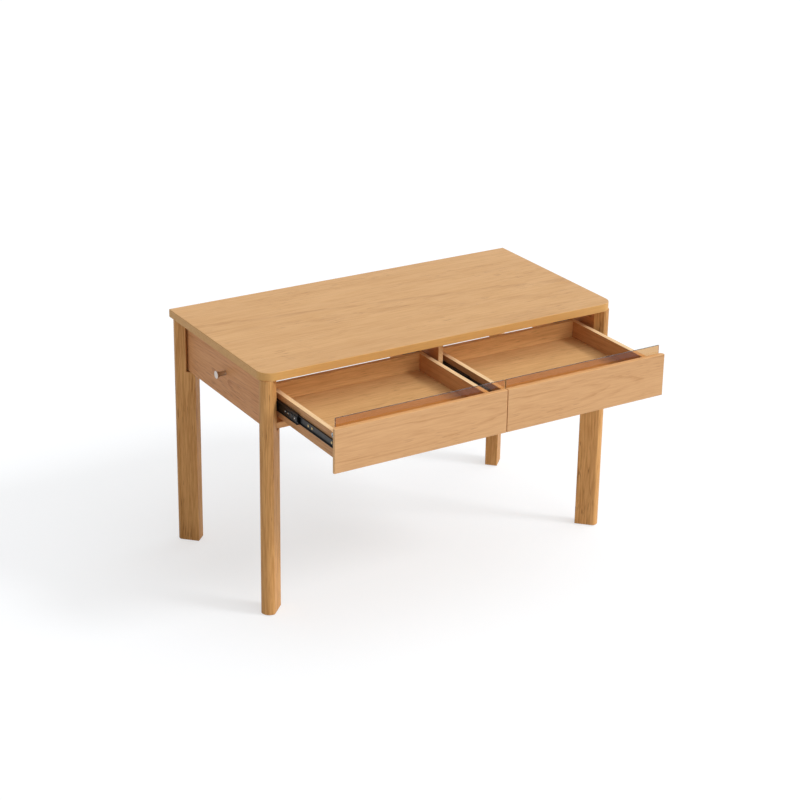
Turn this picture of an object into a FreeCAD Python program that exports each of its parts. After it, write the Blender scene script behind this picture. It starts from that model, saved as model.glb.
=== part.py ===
# Two-drawer writing desk: turned-in legs at the four corners, a set-back frame under the top,
# and two drawers on three-part ball runners.  Millimetres, +Z up, front of the desk towards -Y.
# The drawers are modelled pulled part way out.  Sizes are worked out from the middle of the top,
# and save() then moves each piece so that the origin is on the floor under the middle of the
# whole desk, open drawers included.
import FreeCAD
import Part
import math
import os

from FreeCAD import Vector

os.makedirs("parts", exist_ok=True)

# Top
desk_width = 1200.0
desk_depth = 600.0
desk_height = 750.0
top_thick = 25.0
top_corner_radius = 40.0
top_edge_round = 1.5

# Legs: a bar with one round end, set at 45 degrees so that the round end faces the corner
leg_inset = 2.5
leg_end_radius = 25.0
leg_width = 41.0
leg_length = 70.0
tongue_past_board = 2.0
leg_arris = 2.0
glide_radius = 13.0
glide_thick = 2.5
glide_inset = 32.0

# Frame under the top
frame_height = 161.0
board_thick = 18.0
board_setback = 34.0
rail_setback = 37.0
rail_depth = 50.0
rail_thick = 18.0
divider_thick = 15.0
shoulder_gap = 2.0
shadow_step_depth = 3.0
shadow_step_length = 6.0
corner_block_leg = 34.0
corner_block_gap = 4.0

# Leg bolts and their brass inserts
bolt_radius = 3.0
bolt_head_radius = 5.0
bolt_head_thick = 4.5
bolt_seat = 8.0
bolt_grip = 15.0
insert_radius = 5.0
insert_length = 13.0
bolt_end_margin = 26.0
socket_across = 4.0
hole_gap = 0.05

# Dowels, brackets and screws
dowel_radius = 4.0
dowel_in_board = 10.0
dowel_in_edge = 22.0
rail_dowel_spacing = 20.0
divider_dowel_low = 30.0
divider_dowel_high = 35.0
divider_dowel_front = 130.0
divider_dowel_back = 100.0
bracket_station = 150.0
bracket_hole_at = 12.0
bracket_leg = 20.0
bracket_thick = 2.0
bracket_width = 16.0
bracket_screw_length = 12.0
screw_radius = 1.75
screw_head_radius = 3.5
screw_head_thick = 1.6
screw_grip = 7.0
clearance_hole_gap = 0.4

# Runners, measured out from the board that carries them
runner_space = 12.7
runner_height = 37.6
runner_sheet = 1.2
runner_lip = 8.0
runner_axis_lift = 5.0
runner_setback = 39.0
runner_back_gap = 75.0
runner_screw_end = 30.0
runner_screw_middle = 200.0
middle_shorter = 30.0
middle_setback = 25.0
middle_sheet = 1.0
middle_start = 2.4
middle_web = 5.4
middle_lip_end = 11.2
drawer_lip = 5.3
drawer_runner_shorter = 14.0
drawer_screw_stations = [12.0, 119.0, 140.0]
ball_radius = 1.2
ball_gap = 0.05
cage_thick = 0.5
cage_width = 4.0
cage_length = 140.0
cage_end_gap = 16.0
balls_in_row = 7

# Drawers
pull_out = 310.0
front_thick = 15.0
front_height = 128.0
finger_gap = 29.0
front_flank_gap = 4.0
front_meet_gap = 2.5
front_arris = 1.0
front_end_bevel = 6.0
strip_thick = 4.0
strip_top_gap = 4.0
strip_overlap = 13.0
strip_outer_inset = 11.0
strip_inner_inset = 1.0
box_board = 15.0
box_rail_gap = 16.0
box_strip_gap = 11.0
box_past_runner = 6.0
box_arris = 1.0
bottom_thick = 9.0
bottom_rise = 13.0
groove_depth = 6.0
cam_radius = 7.5
cam_depth = 11.5
cam_setback = 24.0
cam_drop = 10.5
cam_cross_depth = 2.0
cam_rod_radius = 3.0
cam_rod_in_front = 10.0
back_screw_length = 40.0
back_screw_radius = 2.5
back_screw_head_radius = 4.5
back_screw_head_thick = 3.0
back_screw_share = 0.25
strip_screw_count = 3

# Peg on the left side
peg_base_radius = 7.5
peg_neck_radius = 6.5
peg_face_radius = 11.5
peg_length = 30.0
peg_base_step = 1.0
peg_neck_out = 12.0
peg_flare_out = 22.5
peg_flare_radius = 8.5
peg_face_thick = 2.0
peg_screw_radius = 2.5
peg_screw_head_radius = 4.8
peg_screw_head_thick = 2.8
peg_screw_grip = 12.0

# A cutting tool runs this far past a face, and two edges this close count as level
cut_past = 1.0
level = 0.01

# Places that follow from the sizes above
top_under = desk_height - top_thick
frame_bottom = top_under - frame_height
board_outer_x = desk_width / 2 - board_setback
board_inner_x = board_outer_x - board_thick
back_outer_y = desk_depth / 2 - board_setback
back_inner_y = back_outer_y - board_thick
rail_front_y = -desk_depth / 2 + rail_setback
runner_front_y = -desk_depth / 2 + runner_setback
leg_centre_x = desk_width / 2 - leg_inset - leg_end_radius
leg_centre_y = desk_depth / 2 - leg_inset - leg_end_radius
notch_reach = (leg_centre_x - board_inner_x + tongue_past_board) * math.sqrt(2) - leg_width / 2
front_top = top_under - finger_gap
front_bottom = front_top - front_height
front_face_y = -desk_depth / 2 - pull_out
front_back_y = front_face_y + front_thick
flank_offset = leg_width / math.sqrt(2)
front_step_y = desk_depth / 2 - front_thick - leg_centre_y
front_outer_x = leg_centre_x - flank_offset + front_step_y - front_flank_gap
front_inner_x = front_meet_gap / 2
rail_top = frame_bottom + rail_thick
strip_top = top_under - strip_top_gap
strip_bottom = front_top - strip_overlap
box_top = strip_bottom - box_strip_gap
box_bottom = rail_top + box_rail_gap
runner_axis_height = (box_bottom + box_top) / 2 + runner_axis_lift
box_outer_x = board_inner_x - runner_space
box_inner_x = divider_thick / 2 + runner_space
runner_length = back_inner_y - corner_block_leg - runner_back_gap - runner_front_y
middle_length = runner_length - middle_shorter
box_length = runner_length + box_past_runner
drawer_runner_length = box_length - drawer_runner_shorter
box_back_y = front_back_y + box_length
floor_bottom = box_bottom + bottom_rise
floor_top = floor_bottom + bottom_thick
middle_front_y = runner_front_y + middle_setback - pull_out / 2
drawer_runner_front_y = box_back_y - drawer_runner_length


def save(name, shapes):
    """Write one node in the desk's own frame; a list becomes a group of separate solids."""
    group = shapes if isinstance(shapes, list) else [shapes]
    shape = group[0] if len(group) == 1 else Part.makeCompound(group)
    shape.translate(Vector(0, pull_out / 2, 0))
    shape.exportStep("parts/" + name + ".step")


def block(x_range, y_range, z_range):
    """A box between two limits on each axis, in either order."""
    x_low, x_high = sorted(x_range)
    y_low, y_high = sorted(y_range)
    z_low, z_high = sorted(z_range)
    return Part.makeBox(x_high - x_low, y_high - y_low, z_high - z_low, Vector(x_low, y_low, z_low))


def rod(radius, start, end):
    """A round bar from one point to another."""
    along = end - start
    return Part.makeCylinder(radius, along.Length, start, along)


def prism(points, z_low, z_high):
    """An upright prism on a closed outline given in plan."""
    outline = [Vector(x, y, z_low) for x, y in points]
    outline.append(outline[0])
    face = Part.Face(Part.makePolygon(outline))
    return face.extrude(Vector(0, 0, z_high - z_low))


def round_edges(shape, radius, wanted):
    """Round the edges whose middle point the test accepts."""
    edges = [edge for edge in shape.Edges if wanted(edge)]
    return shape.makeFillet(radius, edges)


def edge_is_upright(edge):
    """True for an edge that runs along Z."""
    box = edge.BoundBox
    return box.ZLength > level and box.XLength < level and box.YLength < level


def at_corner(side_x, side_y, inward_x, inward_y, height):
    """A point measured inwards from the leg's centre at one corner."""
    return Vector(side_x * (leg_centre_x - inward_x), side_y * (leg_centre_y - inward_y), height)


def on_diagonal(side_x, side_y, outward, height):
    """A point on the leg's centre line, outwards from the centre of its round end."""
    step = outward / math.sqrt(2)
    return at_corner(side_x, side_y, -step, -step, height)


corners = [("front_left", -1, -1), ("front_right", 1, -1), ("back_left", -1, 1), ("back_right", 1, 1)]
bolt_heights = [frame_bottom + bolt_end_margin, top_under - bolt_end_margin]
notch_line = notch_reach * math.sqrt(2)
seat_line = notch_line + bolt_seat * math.sqrt(2)
board_a = leg_centre_x - board_outer_x
board_b = board_a + board_thick
block_face_line = 2 * board_b + corner_block_leg


# ---- Top ---------------------------------------------------------------------------------------

def make_top():
    """The top: square at the back, round at the two front corners."""
    half_x = desk_width / 2
    half_y = desk_depth / 2
    slab = block((-half_x, half_x), (-half_y, half_y), (top_under, desk_height))
    slab = round_edges(slab, top_corner_radius,
                       lambda edge: edge_is_upright(edge) and edge.BoundBox.YMax < 0)
    flat_edges = [edge for edge in slab.Edges if edge.BoundBox.ZLength < level]
    return slab.makeFillet(top_edge_round, flat_edges)


# ---- Legs --------------------------------------------------------------------------------------

def make_leg(side_x, side_y):
    """One leg, standing on its glide, with the inner part cut away where the frame meets it."""
    half = leg_width / 2
    inner = leg_length - leg_end_radius
    shape = Part.makeCylinder(leg_end_radius, top_under - glide_thick, Vector(0, 0, glide_thick))
    cheek = math.sqrt(leg_end_radius ** 2 - half ** 2)
    trim = block((-leg_end_radius, leg_end_radius), (-half, half), (glide_thick, top_under))
    bar = block((-inner, cheek), (-half, half), (glide_thick, top_under))
    shape = shape.common(trim).fuse(bar).removeSplitter()
    shape = round_edges(shape, leg_arris,
                        lambda edge: edge_is_upright(edge) and edge.BoundBox.XMax < level - inner)
    notch = block((-inner - cut_past, -notch_reach), (-half - cut_past, half + cut_past),
                  (frame_bottom - shoulder_gap, top_under + cut_past))
    shape = shape.cut(notch)
    angle = math.degrees(math.atan2(side_y, side_x))
    shape.rotate(Vector(0, 0, 0), Vector(0, 0, 1), angle)
    shape.translate(Vector(side_x * leg_centre_x, side_y * leg_centre_y, 0))
    for height in bolt_heights:
        mouth = on_diagonal(side_x, side_y, -notch_reach - cut_past, height)
        end = on_diagonal(side_x, side_y, -notch_reach + bolt_grip + cut_past, height)
        shape = shape.cut(rod(insert_radius + hole_gap, mouth, end))
    return shape


def make_insert(side_x, side_y, height):
    """A brass insert with its bore, flush with the leg's notch face."""
    mouth = on_diagonal(side_x, side_y, -notch_reach, height)
    end = on_diagonal(side_x, side_y, -notch_reach + insert_length, height)
    return rod(insert_radius, mouth, end).cut(rod(bolt_radius + hole_gap, mouth, end))


def make_bolt(side_x, side_y, height):
    """A socket-head bolt through the frame corner into the leg."""
    line = seat_line if side_y < 0 else block_face_line
    seat = line / math.sqrt(2)
    tip = on_diagonal(side_x, side_y, -notch_reach + bolt_grip, height)
    seat_point = on_diagonal(side_x, side_y, -seat, height)
    head_point = on_diagonal(side_x, side_y, -seat - bolt_head_thick, height)
    socket_point = on_diagonal(side_x, side_y, -seat - bolt_head_thick / 2, height)
    head = rod(bolt_head_radius, seat_point, head_point)
    bolt = head.fuse(rod(bolt_radius, seat_point, tip)).removeSplitter()
    return bolt.cut(rod(socket_across / 2, socket_point, head_point))


def make_glide(side_x, side_y):
    """A round plastic glide under the leg."""
    place = on_diagonal(side_x, side_y, leg_end_radius - glide_inset, 0)
    return Part.makeCylinder(glide_radius, glide_thick, place)


# ---- Frame -------------------------------------------------------------------------------------

def bolt_holes(shape, side_x, side_y):
    """Clearance holes for the two leg bolts, and a pocket for each head at the front."""
    for height in bolt_heights:
        inner_end = on_diagonal(side_x, side_y, -block_face_line, height)
        outer_end = on_diagonal(side_x, side_y, 0, height)
        shape = shape.cut(rod(bolt_radius + clearance_hole_gap, inner_end, outer_end))
        if side_y < 0:
            seat_point = on_diagonal(side_x, side_y, -seat_line / math.sqrt(2), height)
            shape = shape.cut(rod(bolt_head_radius + clearance_hole_gap, seat_point, inner_end))
    return shape


def board_end(front):
    """Plan outline of one board end, as (across, along) inwards from the leg's centre."""
    step_a = board_a + shadow_step_depth
    step_b = notch_line - board_a + shadow_step_length
    points = [(board_a, step_b), (step_a, step_b), (step_a, notch_line - step_a)]
    if front:
        points.append((board_b, notch_line - board_b))
    else:
        points.append((notch_line / 2, notch_line / 2))
        points.append((board_b, board_b))
    return points


def make_side_board(side_x):
    """A side board: bevelled onto the front leg, mitred to the back board behind."""
    front_end = [at_corner(side_x, -1, a, b, 0) for a, b in board_end(True)]
    back_end = [at_corner(side_x, 1, a, b, 0) for a, b in board_end(False)]
    outline = [(point.x, point.y) for point in front_end + back_end[::-1]]
    board = prism(outline, frame_bottom, top_under)
    for side_y in (-1, 1):
        board = bolt_holes(board, side_x, side_y)
    return board


def make_back_board():
    """The back board, mitred to both side boards."""
    left_end = [at_corner(-1, 1, b, a, 0) for a, b in board_end(False)]
    right_end = [at_corner(1, 1, b, a, 0) for a, b in board_end(False)]
    outline = [(point.x, point.y) for point in left_end + right_end[::-1]]
    board = prism(outline, frame_bottom, top_under)
    for side_x in (-1, 1):
        board = bolt_holes(board, side_x, 1)
    return board


def make_corner_block(side_x):
    """A glue block in the mitred corner, which the leg bolts pull against."""
    reach = board_b + corner_block_leg
    plan = [(board_b, board_b), (reach, board_b), (board_b, reach)]
    points = [at_corner(side_x, 1, a, b, 0) for a, b in plan]
    outline = [(point.x, point.y) for point in points]
    shape = prism(outline, frame_bottom + corner_block_gap, top_under - corner_block_gap)
    return bolt_holes(shape, side_x, 1)


def drill(shape, holes):
    """Cut a list of round holes."""
    for radius, start, end in holes:
        shape = shape.cut(rod(radius, start, end))
    return shape


# ---- Dowels: (start, end) of each --------------------------------------------------------------

rail_back_y = rail_front_y + rail_depth
rail_middle = frame_bottom + rail_thick / 2
rail_post_y = rail_front_y + rail_depth / 2
dowel_line_y = [rail_post_y - rail_dowel_spacing / 2, rail_post_y + rail_dowel_spacing / 2]
divider_heights = [rail_top + divider_dowel_low, top_under - divider_dowel_high]
divider_stations = [rail_front_y + divider_dowel_front, back_inner_y - divider_dowel_back]
dowels = []
for side in (-1, 1):
    for y in dowel_line_y:
        start = Vector(side * (board_inner_x + dowel_in_board), y, rail_middle)
        end = Vector(side * (board_inner_x - dowel_in_edge), y, rail_middle)
        dowels.append((start, end))
for z in divider_heights:
    dowels.append((Vector(0, back_inner_y + dowel_in_board, z),
                   Vector(0, back_inner_y - dowel_in_edge, z)))
for y in divider_stations:
    dowels.append((Vector(0, y, top_under + dowel_in_board),
                   Vector(0, y, top_under - dowel_in_edge)))
dowels.append((Vector(0, rail_post_y, rail_top - dowel_in_board),
               Vector(0, rail_post_y, rail_top + dowel_in_edge)))
dowel_holes = [(dowel_radius + hole_gap, start, end) for start, end in dowels]


# ---- Screws ------------------------------------------------------------------------------------

def make_screw(seat, into, length, radius, head_radius, head_thick):
    """A pan-head screw: head on the seat, shank going into the wood."""
    direction = Vector(into)
    direction.normalize()
    head = rod(head_radius, seat - direction * head_thick, seat)
    shank = rod(radius, seat, seat + direction * length)
    screw = head.fuse(shank).removeSplitter()
    slot_start = seat - direction * head_thick
    slot_end = seat - direction * (head_thick / 2)
    return screw.cut(rod(head_radius / 3, slot_start, slot_end))


def make_bracket(seat, across, width_along):
    """An angle bracket: one leaf on a board's inner face, the other under the top."""
    back = seat + across * bracket_leg
    half = width_along * (bracket_width / 2)
    down = Vector(0, 0, -bracket_leg)
    thick = Vector(0, 0, -bracket_thick)
    leaf = block((seat.x - half.x, back.x + half.x), (seat.y - half.y, back.y + half.y),
                 (top_under, top_under + thick.z))
    edge = seat + across * bracket_thick
    plate = block((seat.x - half.x, edge.x + half.x), (seat.y - half.y, edge.y + half.y),
                  (top_under, top_under + down.z))
    return leaf.fuse(plate).removeSplitter()


bracket_places = []
for side in (-1, 1):
    for y in (-bracket_station, bracket_station):
        place = Vector(side * board_inner_x, y, top_under)
        bracket_places.append((place, Vector(-side, 0, 0), Vector(0, 1, 0)))
    place = Vector(side * board_inner_x / 2, back_inner_y, top_under)
    bracket_places.append((place, Vector(0, -1, 0), Vector(1, 0, 0)))

brackets = []
bracket_screws = []
bracket_holes = []
for seat, across, along in bracket_places:
    bracket = make_bracket(seat, across, along)
    up_seat = seat + across * bracket_hole_at + Vector(0, 0, -bracket_thick)
    side_seat = seat + across * bracket_thick + Vector(0, 0, -bracket_hole_at)
    for hole_seat, into in ((up_seat, Vector(0, 0, 1)), (side_seat, across * -1)):
        tip = hole_seat + into * bracket_screw_length
        hole_end = hole_seat + into * bracket_thick
        bracket = bracket.cut(rod(screw_radius + clearance_hole_gap, hole_seat - into, hole_end))
        bracket_screws.append(make_screw(hole_seat, into, bracket_screw_length,
                                         screw_radius, screw_head_radius, screw_head_thick))
        bracket_holes.append((screw_radius + hole_gap, hole_seat, tip))
    brackets.append(bracket)


# ---- Runners -----------------------------------------------------------------------------------
# Each runner stands on a board face at x = wall and grows towards sign (+1 or -1) along X.

def runner_bar(wall, sign, out_range, z_range, y_range):
    """A straight strip of a runner section, measured out from the board."""
    return block((wall + sign * out_range[0], wall + sign * out_range[1]), y_range,
                 (runner_axis_height + z_range[0], runner_axis_height + z_range[1]))


half_runner = runner_height / 2
middle_outer = half_runner - runner_sheet - 2 * (ball_radius + ball_gap)
middle_inner = middle_outer - middle_sheet
drawer_outer = middle_inner - 2 * (ball_radius + ball_gap)
drawer_web = runner_space - runner_sheet
drawer_lip_start = runner_space - drawer_lip
outer_ball_z = half_runner - runner_sheet - ball_radius - ball_gap
inner_ball_z = middle_inner - ball_radius - ball_gap
outer_ball_out = (middle_start + runner_lip) / 2
inner_ball_out = (drawer_lip_start + middle_lip_end) / 2
fixed_y = (runner_front_y, runner_front_y + runner_length)
middle_y = (middle_front_y, middle_front_y + middle_length)
drawer_y = (drawer_runner_front_y, drawer_runner_front_y + drawer_runner_length)
fixed_screw_y = [fixed_y[0] + runner_screw_end, fixed_y[0] + runner_screw_middle]
fixed_screw_y.append(fixed_y[1] - runner_screw_end)
drawer_screw_y = [drawer_y[0] + station for station in drawer_screw_stations]
drawer_screw_y.append(drawer_y[1] - runner_screw_end)


def make_fixed_runner(wall, sign):
    """The outer channel, screwed to the side board or divider."""
    web = runner_bar(wall, sign, (0, runner_sheet), (-half_runner, half_runner), fixed_y)
    upper = runner_bar(wall, sign, (0, runner_lip), (half_runner - runner_sheet, half_runner), fixed_y)
    lower = runner_bar(wall, sign, (0, runner_lip), (-half_runner, runner_sheet - half_runner), fixed_y)
    shape = web.fuse([upper, lower]).removeSplitter()
    for y in fixed_screw_y:
        start = Vector(wall - sign, y, runner_axis_height)
        end = Vector(wall + sign * 2 * runner_sheet, y, runner_axis_height)
        shape = shape.cut(rod(screw_radius + clearance_hole_gap, start, end))
    return shape


def make_middle_runner(wall, sign):
    """The middle member, an I section that rolls between the other two."""
    web_out = (middle_web, middle_web + middle_sheet)
    lip_out = (middle_start, middle_lip_end)
    web = runner_bar(wall, sign, web_out, (-middle_outer, middle_outer), middle_y)
    upper = runner_bar(wall, sign, lip_out, (middle_inner, middle_outer), middle_y)
    lower = runner_bar(wall, sign, lip_out, (-middle_outer, -middle_inner), middle_y)
    return web.fuse([upper, lower]).removeSplitter()


def make_drawer_runner(wall, sign):
    """The inner channel, screwed to the drawer side."""
    lip = (drawer_lip_start, runner_space)
    web = runner_bar(wall, sign, (drawer_web, runner_space), (-drawer_outer, drawer_outer), drawer_y)
    upper = runner_bar(wall, sign, lip, (drawer_outer - runner_sheet, drawer_outer), drawer_y)
    lower = runner_bar(wall, sign, lip, (-drawer_outer, runner_sheet - drawer_outer), drawer_y)
    shape = web.fuse([upper, lower]).removeSplitter()
    for y in drawer_screw_y:
        start = Vector(wall + sign * (drawer_web - cut_past), y, runner_axis_height)
        end = Vector(wall + sign * (runner_space + cut_past), y, runner_axis_height)
        shape = shape.cut(rod(screw_radius + clearance_hole_gap, start, end))
    return shape


def make_ball_rows(wall, sign):
    """Ball cages of one runner: balls above and below, in two pairs of tracks."""
    solids = []
    outer_start = middle_y[1] - cage_end_gap - cage_length
    inner_start = middle_y[0] + cage_end_gap
    rows = [(outer_start, outer_ball_out, outer_ball_z), (inner_start, inner_ball_out, inner_ball_z)]
    for start_y, out, height in rows:
        for up in (-1, 1):
            out_range = (out - cage_width / 2, out + cage_width / 2)
            z_range = (up * height - cage_thick / 2, up * height + cage_thick / 2)
            cage = runner_bar(wall, sign, out_range, z_range, (start_y, start_y + cage_length))
            for index in range(balls_in_row):
                y = start_y + cage_length * (index + 0.5) / balls_in_row
                centre = Vector(wall + sign * out, y, runner_axis_height + up * height)
                cage = cage.cut(Part.makeSphere(ball_radius + ball_gap, centre))
                solids.append(Part.makeSphere(ball_radius, centre))
            solids.append(cage)
    return solids


def runner_screws(seat_x, into, stations):
    """Screws of one runner member, all on the runner's middle line."""
    screws = []
    for y in stations:
        seat = Vector(seat_x, y, runner_axis_height)
        screws.append(make_screw(seat, Vector(into, 0, 0), screw_grip + runner_sheet,
                                 screw_radius, screw_head_radius, screw_head_thick))
    return screws


def screw_pilots(seat_x, into, stations):
    """The pilot holes of those screws."""
    holes = []
    for y in stations:
        start = Vector(seat_x, y, runner_axis_height)
        end = start + Vector(into * (screw_grip + runner_sheet), 0, 0)
        holes.append((screw_radius + hole_gap, start, end))
    return holes


# (name, board face, direction from board to drawer) of the four runners
runner_walls = [
    ("left_outer", -board_inner_x, 1),
    ("left_inner", -divider_thick / 2, -1),
    ("right_inner", divider_thick / 2, 1),
    ("right_outer", board_inner_x, -1),
]
fixed_screws = []
fixed_pilots = []
for name, wall, sign in runner_walls:
    fixed_screws += runner_screws(wall + sign * runner_sheet, -sign, fixed_screw_y)
    fixed_pilots += screw_pilots(wall + sign * runner_sheet, -sign, fixed_screw_y)


# ---- Peg ---------------------------------------------------------------------------------------

peg_y = 0.0
peg_z = (frame_bottom + top_under) / 2


def make_peg():
    """A turned metal peg, narrow at the neck and flared to a flat round face."""
    outer = board_outer_x
    points = [
        Vector(-outer, 0, 0),
        Vector(-outer, 0, peg_base_radius),
        Vector(-outer - peg_base_step, 0, peg_base_radius),
    ]
    neck = Vector(-outer - peg_neck_out, 0, peg_neck_radius)
    throat = Vector(-outer - peg_flare_out, 0, peg_flare_radius)
    rim = Vector(-outer - peg_length + peg_face_thick, 0, peg_face_radius)
    flare = Part.BSplineCurve()
    flare.interpolate([points[2], neck, throat, rim])
    face_edge = Vector(-outer - peg_length, 0, peg_face_radius)
    face_centre = Vector(-outer - peg_length, 0, 0)
    edges = [Part.makeLine(points[0], points[1]), Part.makeLine(points[1], points[2]), flare.toShape()]
    edges += [Part.makeLine(rim, face_edge), Part.makeLine(face_edge, face_centre)]
    edges.append(Part.makeLine(face_centre, points[0]))
    peg = Part.Face(Part.Wire(edges)).revolve(Vector(0, 0, 0), Vector(1, 0, 0), 360)
    peg.translate(Vector(0, peg_y, peg_z))
    hole_end = Vector(-outer - peg_screw_grip, peg_y, peg_z)
    return peg.cut(rod(peg_screw_radius + hole_gap, Vector(-outer + cut_past, peg_y, peg_z), hole_end))


peg_head_seat = Vector(-board_inner_x - peg_screw_head_thick, peg_y, peg_z)
peg_screw_end = Vector(-board_outer_x - peg_screw_grip, peg_y, peg_z)
peg_holes = [
    (peg_screw_radius + hole_gap, peg_head_seat, peg_screw_end),
    (peg_screw_head_radius + hole_gap, Vector(-board_inner_x + cut_past, peg_y, peg_z), peg_head_seat),
]


# ---- Drawers -----------------------------------------------------------------------------------
# side is -1 for the left drawer and +1 for the right one.

back_front_y = box_back_y - box_board
back_screw_y = box_back_y - box_board / 2
back_rise = box_top - floor_top
back_screw_heights = [floor_top + back_rise * back_screw_share, box_top - back_rise * back_screw_share]
cam_y = front_back_y + cam_setback
cam_z = box_top - cam_drop
rod_end_y = cam_y - cam_radius - hole_gap


def drawer_sides(side):
    """(outer face, direction into the drawer) of the outer and the inner side of one drawer."""
    return [("outer", side * box_outer_x, -side), ("inner", side * box_inner_x, side)]


def cam_parts(side):
    """Cams, cam rods and the holes that take them."""
    cams = []
    rods = []
    side_holes = []
    front_holes = []
    for name, face, inward in drawer_sides(side):
        middle = face + inward * box_board / 2
        cam_start = Vector(face, cam_y, cam_z)
        cam_end = Vector(face + inward * cam_depth, cam_y, cam_z)
        cam = rod(cam_radius, cam_start, cam_end)
        cross_end = cam_start + Vector(inward * cam_cross_depth, 0, 0)
        cams.append(cam.cut(rod(cam_radius / 3, cam_start, cross_end)))
        rod_start = Vector(middle, front_back_y - cam_rod_in_front, cam_z)
        rods.append(rod(cam_rod_radius, rod_start, Vector(middle, rod_end_y, cam_z)))
        side_holes.append((cam_radius + hole_gap, cam_start, cam_end))
        side_holes.append((cam_rod_radius + hole_gap, rod_start, Vector(middle, cam_y, cam_z)))
        front_holes.append((cam_rod_radius + hole_gap, rod_start, Vector(middle, front_back_y, cam_z)))
    return cams, rods, side_holes, front_holes


def back_screw_parts(side):
    """Countersunk screws that hold the drawer back between the sides, and their holes."""
    screws = []
    holes = []
    for name, face, inward in drawer_sides(side):
        for z in back_screw_heights:
            start = Vector(face, back_screw_y, z)
            neck = start + Vector(inward * back_screw_head_thick, 0, 0)
            end = start + Vector(inward * back_screw_length, 0, 0)
            head = rod(back_screw_head_radius, start, neck)
            screw = head.fuse(rod(back_screw_radius, neck, end)).removeSplitter()
            recess_end = start + Vector(inward * back_screw_head_thick / 2, 0, 0)
            screws.append(screw.cut(rod(back_screw_head_radius / 2, start, recess_end)))
            holes.append((back_screw_head_radius + hole_gap, start, neck))
            holes.append((back_screw_radius + hole_gap, start, end))
    return screws, holes


def edge_is_long_top(edge):
    """True for the two long edges along the top of a drawer side."""
    box = edge.BoundBox
    return box.ZMin > box_top - level and box.YLength > box_board


def drawer_floor(side, gap):
    """The floor panel, or with a gap of zero the space it takes in the grooves around it."""
    outer = box_outer_x - box_board + groove_depth
    inner = box_inner_x + box_board - groove_depth
    return block((side * (outer - gap), side * (inner + gap)),
                 (front_back_y - groove_depth + gap, back_front_y + groove_depth - gap),
                 (floor_bottom, floor_top))


def make_drawer(side, label):
    """All the pieces of one drawer."""
    cams, rods, side_holes, front_holes = cam_parts(side)
    back_screws, back_holes = back_screw_parts(side)
    groove = drawer_floor(side, 0)
    front_x = (side * front_inner_x, side * front_outer_x)
    front = block(front_x, (front_face_y, front_back_y), (front_bottom, front_top))
    bevelled = [edge for edge in front.Edges if edge_is_upright(edge)
                and edge.BoundBox.YMin > front_back_y - level
                and abs(edge.BoundBox.XMin - side * front_outer_x) < level]
    front = front.makeChamfer(front_end_bevel, bevelled)
    front = round_edges(front, front_arris, lambda edge: edge.BoundBox.YMax < front_face_y + level)
    strip_x = (side * (front_inner_x + strip_inner_inset), side * (front_outer_x - strip_outer_inset))
    strip = block(strip_x, (front_back_y, front_back_y + strip_thick), (strip_bottom, strip_top))
    strip_screw_z = (strip_bottom + front_top) / 2
    strip_screws = []
    strip_holes = []
    strip_span = front_outer_x - front_inner_x
    for index in range(strip_screw_count):
        x = side * (front_inner_x + strip_span * (index + 0.5) / strip_screw_count)
        seat = Vector(x, front_back_y + strip_thick, strip_screw_z)
        tip = Vector(x, front_back_y - screw_grip, strip_screw_z)
        strip_screws.append(make_screw(seat, Vector(0, -1, 0), strip_thick + screw_grip,
                                       screw_radius, screw_head_radius, screw_head_thick))
        strip_holes.append((screw_radius + hole_gap, seat, tip))
    front = drill(front.cut(groove), front_holes + strip_holes)
    save("drawer_front_" + label, front)
    save("tinted_strip_" + label, drill(strip, strip_holes))
    save("strip_screws_" + label, strip_screws)
    drawer_screws = []
    for name, face, inward in drawer_sides(side):
        board_x = (face, face + inward * box_board)
        board = block(board_x, (front_back_y, box_back_y), (box_bottom, box_top))
        board = round_edges(board, box_arris, edge_is_long_top)
        seat_x = face - inward * runner_sheet
        pilots = screw_pilots(seat_x, inward, drawer_screw_y)
        board = drill(board.cut(groove), side_holes + back_holes + pilots)
        save("drawer_side_" + label + "_" + name, board)
        drawer_screws += runner_screws(seat_x, inward, drawer_screw_y)
    back_x = (side * (box_outer_x - box_board), side * (box_inner_x + box_board))
    back = block(back_x, (back_front_y, box_back_y), (box_bottom, box_top))
    save("drawer_back_" + label, drill(back.cut(groove), back_holes))
    save("drawer_floor_" + label, drawer_floor(side, clearance_hole_gap))
    save("drawer_cams_" + label, cams)
    save("drawer_cam_rods_" + label, rods)
    save("drawer_back_screws_" + label, back_screws)
    save("drawer_runner_screws_" + label, drawer_screws)


# ---- Write the nodes ---------------------------------------------------------------------------

top_holes = dowel_holes + bracket_holes
save("tabletop", drill(make_top(), top_holes))
for label, side_x, side_y in corners:
    save("leg_" + label, make_leg(side_x, side_y))
all_sites = [(side_x, side_y, height) for label, side_x, side_y in corners for height in bolt_heights]
save("leg_inserts", [make_insert(*site) for site in all_sites])
save("leg_bolts", [make_bolt(*site) for site in all_sites])
save("foot_glides", [make_glide(side_x, side_y) for label, side_x, side_y in corners])

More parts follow.
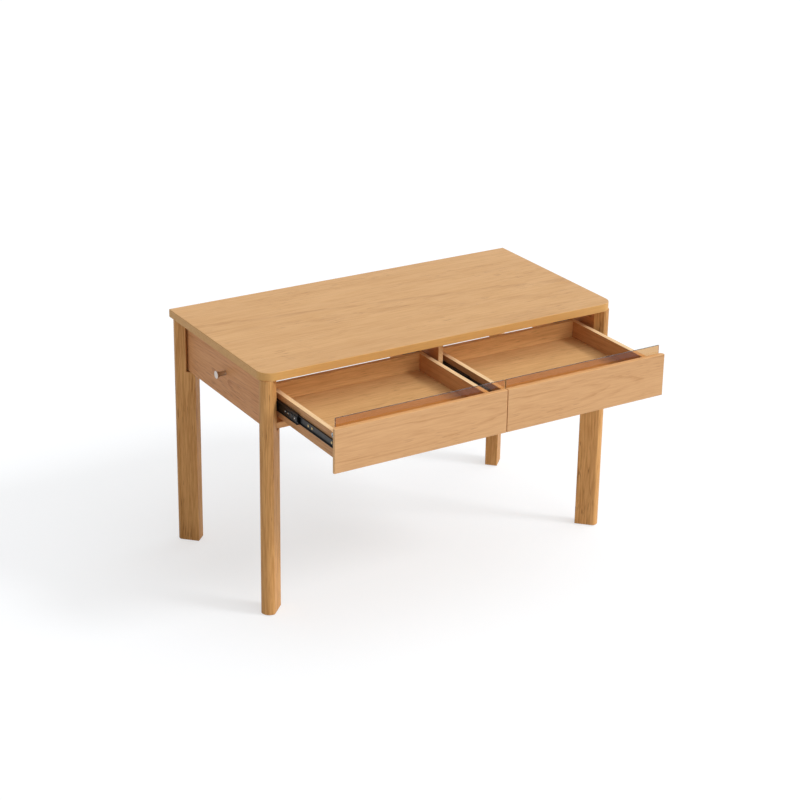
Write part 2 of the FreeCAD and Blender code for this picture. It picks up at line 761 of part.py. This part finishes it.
board_holes = dowel_holes + bracket_holes + fixed_pilots
save("side_board_left", drill(make_side_board(-1), board_holes + peg_holes))
save("side_board_right", drill(make_side_board(1), board_holes))
save("back_board", drill(make_back_board(), board_holes))
save("corner_blocks", [make_corner_block(-1), make_corner_block(1)])
rail = block((-board_inner_x, board_inner_x), (rail_front_y, rail_back_y), (frame_bottom, rail_top))
save("front_rail", drill(rail, dowel_holes))
divider_x = (-divider_thick / 2, divider_thick / 2)
divider = block(divider_x, (rail_front_y, back_inner_y), (rail_top, top_under))
save("centre_divider", drill(divider, board_holes))
save("frame_dowels", [rod(dowel_radius, start, end) for start, end in dowels])
save("top_brackets", brackets)
save("bracket_screws", bracket_screws)
save("bag_peg", make_peg())
peg_head = rod(peg_screw_head_radius, Vector(-board_inner_x, peg_y, peg_z), peg_head_seat)
peg_screw = peg_head.fuse(rod(peg_screw_radius, peg_head_seat, peg_screw_end)).removeSplitter()
save("peg_screw", peg_screw)

for name, wall, sign in runner_walls:
    save("runner_fixed_" + name, make_fixed_runner(wall, sign))
    save("runner_middle_" + name, make_middle_runner(wall, sign))
    save("runner_drawer_" + name, make_drawer_runner(wall, sign))
    save("runner_balls_" + name, make_ball_rows(wall, sign))
save("runner_fixed_screws", fixed_screws)
make_drawer(-1, "left")
make_drawer(1, "right")
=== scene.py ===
import math

import bmesh
import bpy
from mathutils import Matrix, Vector


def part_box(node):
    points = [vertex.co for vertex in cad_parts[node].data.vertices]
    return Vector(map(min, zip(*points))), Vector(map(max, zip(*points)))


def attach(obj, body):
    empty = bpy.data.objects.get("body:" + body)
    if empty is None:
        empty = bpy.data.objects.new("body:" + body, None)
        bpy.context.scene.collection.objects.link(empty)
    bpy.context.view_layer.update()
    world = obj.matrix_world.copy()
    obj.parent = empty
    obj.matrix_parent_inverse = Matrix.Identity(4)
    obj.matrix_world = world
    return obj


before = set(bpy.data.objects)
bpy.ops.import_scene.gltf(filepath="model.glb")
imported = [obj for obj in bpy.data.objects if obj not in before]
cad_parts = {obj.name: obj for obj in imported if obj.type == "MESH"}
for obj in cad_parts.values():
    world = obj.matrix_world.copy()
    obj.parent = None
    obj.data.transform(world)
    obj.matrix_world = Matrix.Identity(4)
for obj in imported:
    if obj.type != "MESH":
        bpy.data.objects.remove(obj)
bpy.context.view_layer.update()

# ---- Legs ----------------------------------------------------------------------------------------
# Four solid oak legs, each planed from one square blank with its outer edge turned to a half round
# and set on the diagonal of its corner. The grain runs up the leg, strong and straight, under a
# satin clear lacquer.


def add(tree, kind, inputs=None, **settings):
    """A new shader node with its settings made and its inputs filled or joined up."""
    made = tree.nodes.new("ShaderNode" + kind)
    for name, value in settings.items():
        setattr(made, name, value)
    for name, value in (inputs or {}).items():
        if isinstance(value, bpy.types.NodeSocket):
            tree.links.new(value, made.inputs[name])
        else:
            made.inputs[name].default_value = value
    return made


def maths(tree, operation, *values, clamp=False):
    """The result of one sum on numbers or sockets."""
    inputs = dict(enumerate(values))
    return add(tree, "Math", inputs, operation=operation, use_clamp=clamp).outputs[0]


def ramp(tree, value, low, high, to_low=0.0, to_high=1.0):
    """value taken smoothly from low..high to to_low..to_high."""
    inputs = {"Value": value, "From Min": low, "From Max": high, "To Min": to_low, "To Max": to_high}
    return add(tree, "MapRange", inputs, interpolation_type="SMOOTHSTEP").outputs["Result"]


def blend_colour(tree, share, first, second):
    """first turning into second as share goes from 0 to 1."""
    inputs = {0: share, 6: first, 7: second}
    return add(tree, "Mix", inputs, data_type="RGBA").outputs[2]


def grain_noise(tree, place, spread, detail=2.0, roughness=0.5):
    """Noise drawn out to a given number of features a metre along, across and into the board."""
    stretched = add(tree, "VectorMath", {0: place, 1: spread}, operation="MULTIPLY").outputs[0]
    inputs = {"Vector": stretched, "Scale": 1.0, "Detail": detail, "Roughness": roughness}
    return add(tree, "TexNoise", inputs)


def tone(red, green, blue):
    """A colour as its linear value, from the eight-bit numbers a paint chart gives."""
    def linear(value):
        share = value / 255
        return share / 12.92 if share <= 0.04045 else ((share + 0.055) / 1.055) ** 2.4
    return (linear(red), linear(green), linear(blue), 1.0)


def make_oak_figure():
    """The figure of a sawn oak board: growth rings cut at an angle, pores, flecks and clouding."""
    tree = bpy.data.node_groups.new("oak_figure", "ShaderNodeTree")
    tree.interface.new_socket("Place", in_out="INPUT", socket_type="NodeSocketVector")
    for name in ("Ring", "Heart across", "Heart below", "Lean"):
        tree.interface.new_socket(name, in_out="INPUT", socket_type="NodeSocketFloat")
    for name in ("Rings", "Streaks", "Pores", "Flecks", "Clouds"):
        tree.interface.new_socket(name, in_out="OUTPUT", socket_type="NodeSocketFloat")
    given = tree.nodes.new("NodeGroupInput").outputs
    place = given["Place"]
    wander = grain_noise(tree, place, (1.9, 8.0, 8.0), detail=4.0, roughness=0.6).outputs["Color"]
    centred = add(tree, "VectorMath", {0: wander, 1: (0.5, 0.5, 0.5)}, operation="SUBTRACT").outputs[0]
    pushed = add(tree, "VectorMath", {0: centred, 1: (0.0, 0.045, 0.03)}, operation="MULTIPLY").outputs[0]
    moved = add(tree, "VectorMath", {0: place, 1: pushed}, operation="ADD").outputs[0]
    parts = add(tree, "SeparateXYZ", {0: moved}).outputs
    across = maths(tree, "SUBTRACT", parts["Y"], given["Heart across"])
    leaning = maths(tree, "MULTIPLY", parts["X"], given["Lean"])
    below = maths(tree, "ADD", maths(tree, "ADD", parts["Z"], given["Heart below"]), leaning)
    squares = maths(tree, "ADD", maths(tree, "MULTIPLY", across, across), maths(tree, "MULTIPLY", below, below))
    rings = maths(tree, "DIVIDE", maths(tree, "SQRT", squares), given["Ring"])
    through = maths(tree, "FRACT", rings)
    late = maths(tree, "MULTIPLY", ramp(tree, through, 0.45, 0.92), ramp(tree, through, 1.0, 0.95))
    year = add(tree, "TexWhiteNoise", {"W": maths(tree, "FLOOR", rings)}, noise_dimensions="1D")
    strength = ramp(tree, year.outputs["Value"], 0.2, 1.0, 0.1, 1.0)
    broken = grain_noise(tree, place, (12.0, 42.0, 42.0), detail=2.0).outputs[0]
    strength = maths(tree, "MULTIPLY", strength, ramp(tree, broken, 0.35, 0.62, 0.15, 1.0))
    streaks = grain_noise(tree, place, (9.0, 190.0, 190.0), detail=3.0, roughness=0.65).outputs[0]
    pores = grain_noise(tree, place, (18.0, 750.0, 750.0), detail=2.0).outputs[0]
    dashes = grain_noise(tree, place, (20.0, 300.0, 300.0), detail=1.0).outputs[0]
    patches = grain_noise(tree, place, (3.0, 16.0, 16.0), detail=1.0).outputs[0]
    clouds = grain_noise(tree, place, (1.5, 9.0, 9.0), detail=2.0).outputs[0]
    shown = tree.nodes.new("NodeGroupOutput").inputs
    results = {
        "Rings": maths(tree, "MULTIPLY", late, strength),
        "Streaks": ramp(tree, streaks, 0.36, 0.68),
        "Pores": ramp(tree, pores, 0.4, 0.7),
        "Flecks": maths(tree, "MULTIPLY", ramp(tree, dashes, 0.62, 0.72), ramp(tree, patches, 0.45, 0.6)),
        "Clouds": ramp(tree, clouds, 0.3, 0.7),
    }
    for name, value in results.items():
        tree.links.new(value, shown[name])
    return tree


oak_figure = make_oak_figure()


def oak(name, along, face, tones, amounts, cut, start=(0.0, 0.0, 0.0), gloss=0.46, band=None):
    """A lacquered oak surface. along is the grain, face the normal of the broad side, tones are light,
    dark and fleck, amounts are rings, streaks, flecks and clouds, cut is ring width, the heart's place
    across and below, and lean; band is the tone of a glued-on edge."""
    made = bpy.data.materials.new(name)
    made.use_nodes = True
    tree = made.node_tree
    tree.nodes.clear()
    along, face = Vector(along).normalized(), Vector(face).normalized()
    across = face.cross(along)
    point = add(tree, "TexCoord").outputs["Object"]
    shifted = add(tree, "VectorMath", {0: point, 1: start}, operation="ADD").outputs[0]
    lengths = []
    for direction in (along, across, face):
        dot = add(tree, "VectorMath", {0: shifted, 1: direction}, operation="DOT_PRODUCT")
        lengths.append(dot.outputs["Value"])
    place = add(tree, "CombineXYZ", dict(enumerate(lengths))).outputs[0]
    figure = add(tree, "Group", node_tree=oak_figure)
    tree.links.new(place, figure.inputs["Place"])
    for socket, value in zip(("Ring", "Heart across", "Heart below", "Lean"), cut):
        figure.inputs[socket].default_value = value
    shown = figure.outputs
    rings, streaks, flecks, clouds = amounts
    dark_share = maths(tree, "MULTIPLY", shown["Rings"], rings)
    dark_share = maths(tree, "MULTIPLY_ADD", shown["Streaks"], streaks, dark_share)
    dark_share = maths(tree, "MULTIPLY_ADD", shown["Pores"], streaks * 0.6, dark_share)
    dark_share = maths(tree, "MULTIPLY_ADD", shown["Clouds"], clouds, dark_share, clamp=True)
    light, dark, fleck = tones
    colour = blend_colour(tree, dark_share, light, dark)
    colour = blend_colour(tree, maths(tree, "MULTIPLY", shown["Flecks"], flecks), colour, fleck)
    normal = add(tree, "NewGeometry").outputs["Normal"]
    if band:
        facing = add(tree, "VectorMath", {0: normal, 1: face}, operation="DOT_PRODUCT").outputs["Value"]
        on_edge = ramp(tree, maths(tree, "ABSOLUTE", facing), 0.8, 0.6)
        banded = blend_colour(tree, maths(tree, "MULTIPLY", shown["Streaks"], 0.35), band, dark)
        colour = blend_colour(tree, on_edge, colour, banded)
    # Painted highlight: the rounded arrises that face up are lightened towards a pale straw tone, standing in for
    # lamp light caught on the edges. This is painted light, not wear.
    bevelled_normal = add(tree, "Bevel", {"Radius": 0.0012}, samples=4).outputs[0]
    turned = add(tree, "VectorMath", {0: bevelled_normal, 1: normal}, operation="DOT_PRODUCT").outputs["Value"]
    upward = ramp(tree, add(tree, "SeparateXYZ", {0: bevelled_normal}).outputs["Z"], -0.25, 0.0)
    painted_edge_highlight = maths(tree, "MULTIPLY", ramp(tree, turned, 0.99, 0.85, 0.0, 0.4), upward)
    colour = blend_colour(tree, painted_edge_highlight, colour, tone(236, 204, 160))
    sheen = ramp(tree, shown["Streaks"], 0.0, 1.0, gloss, gloss + 0.1)
    height = maths(tree, "MULTIPLY_ADD", shown["Pores"], -0.6, maths(tree, "MULTIPLY", shown["Streaks"], -0.4))
    bump = add(tree, "Bump", {"Height": height, "Strength": 0.25, "Distance": 0.0003, "Normal": bevelled_normal})
    surface = add(tree, "BsdfPrincipled", {"Base Color": colour, "Roughness": sheen, "Normal": bump.outputs[0]})
    surface.inputs["Specular IOR Level"].default_value = 0.2
    output = add(tree, "OutputMaterial", {"Surface": surface.outputs[0]})
    output.is_active_output = True
    return made


def finish_with(material, *names):
    """Give CAD pieces this finish."""
    for name in names:
        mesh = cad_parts[name].data
        mesh.materials.clear()
        mesh.materials.append(material)


leg_tones = (tone(219, 166, 104), tone(158, 104, 50), tone(112, 70, 34))
leg_corners = [("front_left", -1, -1), ("front_right", 1, -1), ("back_left", -1, 1), ("back_right", 1, 1)]
for index, (corner, side_x, side_y) in enumerate(leg_corners):
    blank = oak("oak_leg_" + corner, (0, 0, 1), (side_x, side_y, 0), leg_tones, (0.3, 0.4, 0.7, 0.2),
                (0.006, 0.02, 0.16, 0.01), start=(0.37 * index, 0.21 * index, 0.5 * index))
    finish_with(blank, "leg_" + corner)

# ---- Leg inserts, bolts and glides ---------------------------------------------------------------
# Turned brass inserts are screwed into each leg's notch, socket bolts pull the legs to the frame,
# and a moulded glide is pinned under each foot.


def plain(name, colour, metallic, roughness, mottle=0.08, grit=900.0, bump=0.08):
    """Metal or plastic with fine mottling in its colour and gloss, and a slight tooth."""
    made = bpy.data.materials.new(name)
    made.use_nodes = True
    tree = made.node_tree
    tree.nodes.clear()
    point = add(tree, "TexCoord").outputs["Object"]
    fine = add(tree, "TexNoise", {"Vector": point, "Scale": grit, "Detail": 3.0}).outputs[0]
    broad = add(tree, "TexNoise", {"Vector": point, "Scale": grit / 12, "Detail": 2.0}).outputs[0]
    both = maths(tree, "MULTIPLY", maths(tree, "ADD", fine, broad), 0.5)
    darker = tuple(value * (1 - mottle * 3) for value in colour[:3]) + (1.0,)
    shade = blend_colour(tree, ramp(tree, both, 0.35, 0.65), darker, colour)
    gloss = ramp(tree, both, 0.35, 0.65, roughness - mottle, roughness + mottle)
    tooth = add(tree, "Bump", {"Height": fine, "Strength": bump, "Distance": 0.0002})
    surface = add(tree, "BsdfPrincipled", {"Base Color": shade, "Roughness": gloss, "Normal": tooth.outputs[0]})
    surface.inputs["Metallic"].default_value = metallic
    add(tree, "OutputMaterial", {"Surface": surface.outputs[0]})
    return made


finish_with(plain("turned_brass", tone(205, 172, 96), 1.0, 0.32), "leg_inserts")
screw_steel = plain("yellow_zinc_steel", tone(214, 190, 140), 1.0, 0.34)
finish_with(screw_steel, "leg_bolts")
finish_with(plain("glide_plastic", tone(70, 62, 56), 0.0, 0.6), "foot_glides")

# ---- Frame under the top -------------------------------------------------------------------------
# Side boards and a back board of veneered board, a front rail and an upright divider between the
# drawers, held by beech dowels and, in the back corners, by glued beech blocks.

frame_tones = (tone(218, 158, 104), tone(174, 114, 70), tone(130, 80, 46))
frame_band = tone(222, 172, 118)
for index, board in enumerate(("side_board_left", "side_board_right")):
    low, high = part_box(board)
    middle = (low + high) / 2
    board_oak = oak("oak_" + board, (0, 1, 0), (1, 0, 0), frame_tones, (0.5, 0.3, 0.5, 0.15),
                    (0.009, 0.0, 0.035, 0.11), start=-middle + Vector((0, 0.05 * index, 0.02)), band=frame_band)
    finish_with(board_oak, board)
low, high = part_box("back_board")
finish_with(oak("oak_back_board", (1, 0, 0), (0, 1, 0), frame_tones, (0.6, 0.35, 0.5, 0.15),
                (0.009, 0.0, 0.04, 0.07), start=-(low + high) / 2, band=frame_band), "back_board")
finish_with(oak("oak_front_rail", (1, 0, 0), (0, 0, 1), frame_tones, (0.3, 0.4, 0.4, 0.2),
                (0.006, 0.1, 0.2, 0.02), band=frame_band), "front_rail")
finish_with(oak("oak_divider", (0, 1, 0), (1, 0, 0), frame_tones, (0.3, 0.4, 0.4, 0.2),
                (0.006, 0.1, 0.2, 0.02), band=tone(232, 186, 134)), "centre_divider")
beech_tones = (tone(226, 186, 146), tone(204, 158, 116), tone(170, 120, 84))
finish_with(oak("beech_block", (0, 0, 1), (1, 1, 0), beech_tones, (0.2, 0.3, 0.8, 0.2),
                (0.005, 0.1, 0.3, 0.0), gloss=0.6), "corner_blocks")
finish_with(oak("beech_dowel", (1, 0, 0), (0, 0, 1), beech_tones, (0.2, 0.3, 0.8, 0.2),
                (0.005, 0.1, 0.3, 0.0), gloss=0.6), "frame_dowels")

# ---- Top -----------------------------------------------------------------------------------------
# One 25 mm veneered board with the grain along the desk and a matching band glued round its edge,
# held from below by zinc-plated angle brackets and their screws.

top_tones = (tone(213, 167, 114), tone(184, 136, 84), tone(138, 92, 50))
finish_with(oak("oak_top", (1, 0, 0), (0, 0, 1), top_tones, (0.45, 0.3, 0.55, 0.2),
                (0.02, -0.05, 0.09, 0.04), gloss=0.42, band=tone(209, 160, 95)), "tabletop")
bracket_steel = plain("zinc_plated_steel", tone(188, 190, 192), 1.0, 0.38)
finish_with(bracket_steel, "top_brackets")
finish_with(screw_steel, "bracket_screws")

# ---- Peg -----------------------------------------------------------------------------------------
# A turned metal peg on the left side board, for a bag: satin body, polished flat face, held by a
# screw from inside.

finish_with(plain("satin_nickel", tone(196, 186, 176), 1.0, 0.3, mottle=0.03), "bag_peg")
finish_with(screw_steel, "peg_screw")

# ---- Runners -------------------------------------------------------------------------------------
# Three-part ball runners of black-plated rolled steel beside each drawer: the outer channel on the
# frame, the middle member between two rows of steel balls, the inner channel on the drawer.

runner_black = plain("black_plated_steel", tone(24, 24, 26), 0.3, 0.36, mottle=0.05)
ball_steel = plain("polished_ball_steel", tone(205, 205, 205), 1.0, 0.15, mottle=0.02)
runner_names = [drawer + "_" + place for drawer in ("left", "right") for place in ("outer", "inner")]
for name in runner_names:
    finish_with(runner_black, "runner_fixed_" + name, "runner_middle_" + name, "runner_drawer_" + name)
    finish_with(ball_steel, "runner_balls_" + name)
finish_with(screw_steel, "runner_fixed_screws")

# ---- Catches and bumpers on the runners ----------------------------------------------------------
# At the front end of each middle member a black moulded bumper is clipped over the web, and behind it
# lies the release lever, held by two bright rivets. They sit between the member's rolled edges.

moulded_black = plain("black_moulding", tone(30, 30, 32), 0.0, 0.5, mottle=0.06, grit=1600.0)
rivet_steel = plain("bright_rivet", tone(190, 196, 196), 1.0, 0.22, mottle=0.03)


def rounded_block(name, low, high, rounding):
    """A block between two corners with all its edges rounded."""
    shape = bmesh.new()
    bmesh.ops.create_cube(shape, size=1.0)
    for vertex in shape.verts:
        vertex.co = Vector([l + (h - l) * (v + 0.5) for l, h, v in zip(low, high, vertex.co)])
    bmesh.ops.bevel(shape, geom=shape.edges[:], offset=rounding, segments=3, affect="EDGES", profile=0.5)
    mesh = bpy.data.meshes.new(name)
    shape.to_mesh(mesh)
    shape.free()
    for polygon in mesh.polygons:
        polygon.use_smooth = True
    made = bpy.data.objects.new(name, mesh)
    bpy.context.scene.collection.objects.link(made)
    return made


def button(name, centre, radius, thick):
    """A low round head that faces along X."""
    shape = bmesh.new()
    bmesh.ops.create_cone(shape, cap_ends=True, segments=24, radius1=radius, radius2=radius, depth=thick)
    rims = [edge for edge in shape.edges if abs(edge.verts[0].co.z - edge.verts[1].co.z) < 1e-6]
    bmesh.ops.bevel(shape, geom=rims, offset=thick * 0.4, segments=2, affect="EDGES", profile=0.5)
    for vertex in shape.verts:
        across, upward, outward = vertex.co
        vertex.co = centre + Vector((outward, across, upward))
    mesh = bpy.data.meshes.new(name)
    shape.to_mesh(mesh)
    shape.free()
    made = bpy.data.objects.new(name, mesh)
    bpy.context.scene.collection.objects.link(made)
    return made


for name in runner_names:
    low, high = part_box("runner_middle_" + name)
    wall_side, inward = (low.x, 1) if name in ("left_outer", "right_inner") else (high.x, -1)
    middle_z = (low.z + high.z) / 2
    body = "middle_" + name.split("_")[0]
    blocks = [("runner_bumper_", 0.002, 0.022, 0.0075, 0.0002, 0.0028),
              ("runner_lever_", 0.024, 0.074, 0.0035, 0.0012, 0.0028),
              ("runner_lever_head_", 0.030, 0.044, 0.0065, 0.0008, 0.0028)]
    for label, start, end, reach, near, far in blocks:
        span = sorted((wall_side + inward * near, wall_side + inward * far))
        piece = rounded_block(label + name, (span[0], low.y + start, middle_z - reach),
                              (span[1], low.y + end, middle_z + reach), 0.0007)
        piece.data.materials.append(moulded_black)
        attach(piece, body)
    for index, station in enumerate((0.013, 0.052, 0.069)):
        centre = Vector((wall_side + inward * (0.0007 if index else 0.0), low.y + station, middle_z))
        rivet = button("runner_rivet_" + name + "_" + str(index), centre, 0.0024, 0.0012)
        rivet.data.materials.append(rivet_steel)
        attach(rivet, body)

# ---- Drawer boxes --------------------------------------------------------------------------------
# Each box is two sides and a back of 15 mm veneered board with a pale edge band, and a thin floor
# let into grooves. Cams lock the sides to the front, screws hold the back.

box_tones = (tone(220, 176, 122), tone(186, 140, 88), tone(140, 98, 56))
back_tones = (tone(238, 190, 130), tone(200, 150, 94), tone(150, 104, 60))
side_tones = (tone(212, 160, 112), tone(176, 124, 78), tone(136, 90, 54))
pale_band = tone(246, 212, 164)
cam_zinc = plain("die_cast_zinc", tone(176, 184, 190), 1.0, 0.4)
for index, label in enumerate(("left", "right")):
    for place in ("outer", "inner"):
        board = "drawer_side_" + label + "_" + place
        low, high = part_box(board)
        finish_with(oak("oak_" + board, (0, 1, 0), (1, 0, 0), side_tones, (0.3, 0.4, 0.4, 0.2),
                        (0.012, 0.03, 0.1, 0.05), start=(0, 0.3 * index, 0.4 * low.x), band=pale_band), board)
    finish_with(oak("oak_drawer_back_" + label, (1, 0, 0), (0, 1, 0), back_tones, (0.3, 0.4, 0.4, 0.2),
                    (0.012, 0.03, 0.1, 0.05), start=(0.2 * index, 0, 0.1), band=pale_band), "drawer_back_" + label)
    finish_with(oak("oak_drawer_floor_" + label, (1, 0, 0), (0, 0, 1), box_tones, (0.3, 0.4, 0.6, 0.2),
                    (0.02, 0.03, 0.1, 0.05), start=(0.3 + 0.5 * index, 0.4 * index, 0)), "drawer_floor_" + label)
    finish_with(cam_zinc, "drawer_cams_" + label)
    finish_with(screw_steel, "drawer_cam_rods_" + label, "drawer_back_screws_" + label,
                "drawer_runner_screws_" + label)

# ---- Drawer fronts and tinted strips -------------------------------------------------------------
# The fronts are 18 mm veneered boards, cut in line so that the figure runs on from one to the
# other. Behind each stands a strip of bronze-tinted clear sheet, screwed to the back of the front.

front_tones = (tone(209, 164, 118), tone(182, 134, 88), tone(142, 96, 58))
for index, label in enumerate(("left", "right")):
    front = "drawer_front_" + label
    low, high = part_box(front)
    finish_with(oak("oak_" + front, (1, 0, 0), (0, 1, 0), front_tones, (0.5, 0.3, 0.35, 0.15),
                    (0.012, 0.0, 0.045, 0.09), start=(-0.1 - 0.35 * index, -low.y, -(low.z + high.z) / 2),
                    band=tone(220, 172, 118)), front)
    finish_with(screw_steel, "strip_screws_" + label)

tinted_sheet = bpy.data.materials.new("bronze_tinted_sheet")
tinted_sheet.use_nodes = True
tree = tinted_sheet.node_tree
tree.nodes.clear()
clear = add(tree, "BsdfPrincipled")
clear.inputs["Transmission Weight"].default_value = 1.0
clear.inputs["Roughness"].default_value = 0.02
clear.inputs["IOR"].default_value = 1.49
clear.inputs["Specular IOR Level"].default_value = 0.2
clear.inputs["Base Color"].default_value = (1.0, 1.0, 1.0, 1.0)
passing = add(tree, "BsdfTransparent")
lamp_ray = add(tree, "LightPath").outputs["Is Shadow Ray"]
sheet_surface = add(tree, "MixShader", {0: lamp_ray, 1: clear.outputs[0], 2: passing.outputs[0]})
tint = add(tree, "VolumeAbsorption")
tint.inputs["Color"].default_value = (0.78, 0.47, 0.0, 1.0)
tint.inputs["Density"].default_value = 350.0
sheet_output = add(tree, "OutputMaterial", {"Surface": sheet_surface.outputs[0], "Volume": tint.outputs[0]})
finish_with(tinted_sheet, "tinted_strip_left", "tinted_strip_right")

# ---- Studio --------------------------------------------------------------------------------------
# A pale floor that keeps the soft shadow and reads white elsewhere, a white surround that is dimmer
# on the left, a soft key lamp at the front right, a broad one overhead and a weak fill in front.

floor_size = 80.0
floor_mesh = bpy.data.meshes.new("studio_floor")
half = floor_size / 2
floor_mesh.from_pydata([(-half, -half, 0), (half, -half, 0), (half, half, 0), (-half, half, 0)], [], [(0, 1, 2, 3)])
floor = bpy.data.objects.new("studio_floor", floor_mesh)
bpy.context.scene.collection.objects.link(floor)
floor_paint = bpy.data.materials.new("studio_floor_paint")
floor_paint.use_nodes = True
tree = floor_paint.node_tree
tree.nodes.clear()


def seen_directly(tree):
    """1 for rays from the camera, off a shiny surface or through a clear one, 0 for the rest."""
    path = add(tree, "LightPath").outputs
    seen = maths(tree, "ADD", path["Is Camera Ray"], path["Is Glossy Ray"])
    return maths(tree, "ADD", seen, path["Is Transmission Ray"], clamp=True)


shaded = add(tree, "BsdfDiffuse", {"Color": (0.405, 0.42, 0.437, 1.0)})
glow = add(tree, "Emission", {"Color": (1.0, 1.0, 1.0, 1.0), "Strength": 0.60})
white = add(tree, "AddShader", {0: shaded.outputs[0], 1: glow.outputs[0]})
pale = add(tree, "BsdfDiffuse", {"Color": (0.8, 0.8, 0.8, 1.0)})
floor_surface = add(tree, "MixShader", {0: seen_directly(tree), 1: pale.outputs[0], 2: white.outputs[0]})
add(tree, "OutputMaterial", {"Surface": floor_surface.outputs[0]})
floor_mesh.materials.append(floor_paint)

world = bpy.data.worlds.new("studio_surround")
bpy.context.scene.world = world
world.use_nodes = True
tree = world.node_tree
tree.nodes.clear()
towards = add(tree, "SeparateXYZ", {0: add(tree, "TexCoord").outputs["Generated"]}).outputs["X"]
glow_round = ramp(tree, towards, -1.0, 1.0, 0.32, 0.58)
surround = add(tree, "Background", {"Color": (1.0, 1.0, 1.0, 1.0), "Strength": glow_round})
backdrop = add(tree, "Background", {"Color": (1.0, 1.0, 1.0, 1.0), "Strength": 1.0})
sky = add(tree, "MixShader", {0: seen_directly(tree), 1: surround.outputs[0], 2: backdrop.outputs[0]})
add(tree, "OutputWorld", {"Surface": sky.outputs[0]})

lamps = [
    ("side_key", (0.71, -0.70, 0.76), 1.3, 13),
    ("overhead", (0.4, -0.22, 1.0), 0.95, 55),
    ("front_fill", (0.3, -1.0, 0.3), 0.8, 70),
]
for name, lamp_from, energy, spread in lamps:
    lamp = bpy.data.lights.new(name, "SUN")
    lamp.energy = energy
    lamp.angle = math.radians(spread)
    hung = bpy.data.objects.new(name, lamp)
    hung.rotation_euler = Vector(lamp_from).to_track_quat("Z", "Y").to_euler()
    bpy.context.scene.collection.objects.link(hung)

# ---- Camera --------------------------------------------------------------------------------------
# A long lens from the front left, looking down on the desk.

top_low, top_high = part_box("tabletop")
aim = Vector((0.129, (top_low.y + top_high.y) / 2, 0.693))
azimuth, elevation, roll = math.radians(-32.7), math.radians(20.39), math.radians(1.24)
distance = 5.896
back = Vector((math.sin(azimuth) * math.cos(elevation), -math.cos(azimuth) * math.cos(elevation),
               math.sin(elevation)))
level_right = Vector((math.cos(azimuth), math.sin(azimuth), 0))
level_up = back.cross(level_right)
right = level_right * math.cos(roll) + level_up * math.sin(roll)
up = back.cross(right)
lens = bpy.data.cameras.new("camera")
lens.sensor_width = 36.0
lens.lens = 86.99
lens.shift_x = -0.0375
lens.shift_y = -0.105
lens.clip_end = 100.0
camera = bpy.data.objects.new("camera", lens)
turn = Matrix((right, up, back)).transposed().to_4x4()
camera.matrix_world = Matrix.Translation(aim + back * distance) @ turn
bpy.context.scene.collection.objects.link(camera)
bpy.context.scene.camera = camera
bpy.context.scene.view_settings.view_transform = "Standard"
